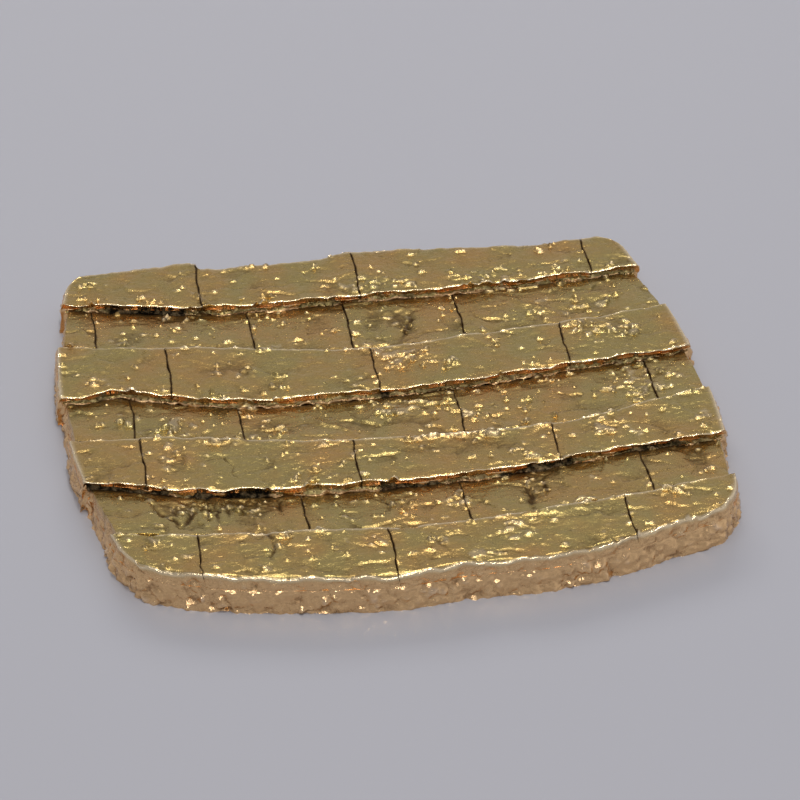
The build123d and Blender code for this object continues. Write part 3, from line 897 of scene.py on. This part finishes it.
for piece in slab_bits:
    layer = piece.data.attributes["top"]
    layer.data.foreach_set("value", np.zeros(len(layer.data), dtype=np.float32))
    apply_tree(piece, skin_tree, Seed=4.0, Material=slab_brass)
slab = slab_bits[0]
slab.name = "cast_slab"
for piece in slab_bits[1:]:
    union = slab.modifiers.new("join", "BOOLEAN")
    union.operation = "UNION"
    union.solver = "MANIFOLD"
    union.object = piece
    settle(slab)
    bpy.data.objects.remove(piece)
finish_piece(slab, "base_slab")

# -------------------- braze under the inner lips
SEAM_TOP, SEAM_FALL, SEAM_FOOT = 3.98, 0.40, 3.4
# stretches of each seam under its lip darkened with painted shade: from x, to x, darkness
SEAM_SHADE = {
    1: ((-37.0, -24.0, 0.85), (-6.0, -3.0, 0.5)),
    2: ((-1.5, 1.5, 0.9), (-40.0, -36.0, 0.5), (28.0, 31.0, 0.5)),
    3: ((-44.0, -30.0, 0.8), (-29.0, -17.0, 0.85), (-4.0, 6.0, 0.7), (12.0, 23.0, 0.7), (28.0, 38.0, 0.6)),
}


def seam_shade(obj, stretches):
    """Darkens stretches of a seam with painted shade."""
    coords = np.empty(3 * len(obj.data.vertices))
    obj.data.vertices.foreach_get("co", coords)
    x = coords[::3] / MM
    dark = np.full(len(x), 0.12)
    for start, end, strength in stretches:
        edge = np.clip(np.minimum(x - start, end - x) / 1.2 + waver(x, 3.0, 0.4, 77), 0, 1)
        dark = np.maximum(dark, strength * edge)
    obj.data.attributes["dark"].data.foreach_set("value", dark.astype(np.float32))


for tier in LIP_LINES:
    back = lip_line(tier, LIP_OVERHANG + 0.35)
    front = wavy(lip_line(tier, LIP_OVERHANG - 0.35), 80 + tier, 0.20, 4.0)
    plan = course_plans(back, front, SEAM_INSET, (), 0, 0.2, 0)[0]
    piece = block(f"braze_bead_{tier}", plan, lambda x, y, u, v: SEAM_TOP - SEAM_FALL * v ** 1.5, SEAM_FOOT,
                  (0.1, 0.1, 0.1, 0.1), (0, 0.15, 0, 0), 4, marks=False)
    seam_shade(piece, SEAM_SHADE[tier])
    apply_tree(piece, skin_tree, Swell=0.25, Facet=0.0, Chatter=0.15, Grit=0.18, Bulge=0.25, Ripple=0.25,
               Seed=9.0 + tier, Material=braze_metal,
               **{"Swell Size": 2.2, "Chatter Size": 0.6, "Grit Size": 0.5})
    apply_tree(piece, bead_tree, Material=braze_metal, Seed=float(tier))
    finish_piece(piece, f"tier{tier}_braze_seam")

# -------------------- floor, light and camera
def plain_floor():
    mesh = bpy.data.meshes.new("floor")
    r = 3.0
    mesh.from_pydata([(-r, -r, 0), (r, -r, 0), (r, r, 0), (-r, r, 0)], [], [(0, 1, 2, 3)])
    obj = bpy.data.objects.new("floor", mesh)
    bpy.context.scene.collection.objects.link(obj)
    material = bpy.data.materials.new("pale paper")
    material.use_nodes = True
    shader = material.node_tree.nodes["Principled BSDF"]
    shader.inputs["Base Color"].default_value = (0.382, 0.379, 0.402, 1)
    shader.inputs["Roughness"].default_value = 0.32
    mesh.materials.append(material)


def soft_light(name, place, size, power, mirrored=True):
    data = bpy.data.lights.new(name, "AREA")
    data.shape = "RECTANGLE"
    data.size, data.size_y = size
    data.energy = power
    obj = bpy.data.objects.new(name, data)
    obj.location = place
    obj.rotation_euler = (-Vector(place)).to_track_quat("-Z", "Y").to_euler()
    obj.visible_glossy = mirrored      # an unmirrored light falls on the paper only
    bpy.context.scene.collection.objects.link(obj)


plain_floor()
soft_light("overhead", (0.05, 0.0, 0.72), (0.14, 0.09), 1.45)
soft_light("rear", (0.0, 1.25, 0.60), (0.90, 0.32), 8.6, mirrored=False)
soft_light("front", (-0.12, -0.50, 0.55), (0.20, 0.09), 0.5)
scene = bpy.context.scene
world = bpy.data.worlds.new("tent")
scene.world = world
world.use_nodes = True
tent = world.node_tree
bearing = wire(tent, "ShaderNodeSeparateXYZ", {0: wire(tent, "ShaderNodeTexCoord").outputs["Generated"]})
ramp = wire(tent, "ShaderNodeValToRGB", {0: bearing.outputs["Z"]})
ramp.color_ramp.elements[0].position = 0.25
ramp.color_ramp.elements[0].color = (0.50, 0.495, 0.525, 1)
ramp.color_ramp.elements[1].position = 0.95
ramp.color_ramp.elements[1].color = (1.06, 1.05, 1.09, 1)
middle = ramp.color_ramp.elements.new(0.75)
middle.color = (0.27, 0.267, 0.29, 1)
rear_share = spread(tent, bearing.outputs["Y"], -1.0, 1.0, 0.80, 1.25)
right_share = spread(tent, bearing.outputs["X"], -1.0, 1.0, 0.80, 1.14)
glow = scaled(tent, ramp.outputs[0], calc(tent, "MULTIPLY", rear_share, right_share))
tent.links.new(glow, tent.nodes["Background"].inputs["Color"])
tent.nodes["Background"].inputs["Strength"].default_value = 1.04
scene.view_settings.view_transform = "Standard"

TURN, RISE, REACH = math.radians(7.9), math.radians(35.0), 0.4433
aim = Vector((0.0016, -0.0001, 0.005))
data = bpy.data.cameras.new("camera")
data.lens = 148.5
data.sensor_width = 36.0
camera = bpy.data.objects.new("camera", data)
toward = Vector((-math.sin(TURN) * math.cos(RISE), -math.cos(TURN) * math.cos(RISE), math.sin(RISE)))
camera.location = aim + REACH * toward
camera.rotation_euler = (aim - camera.location).to_track_quat("-Z", "Y").to_euler()
scene.collection.objects.link(camera)
scene.camera = camera
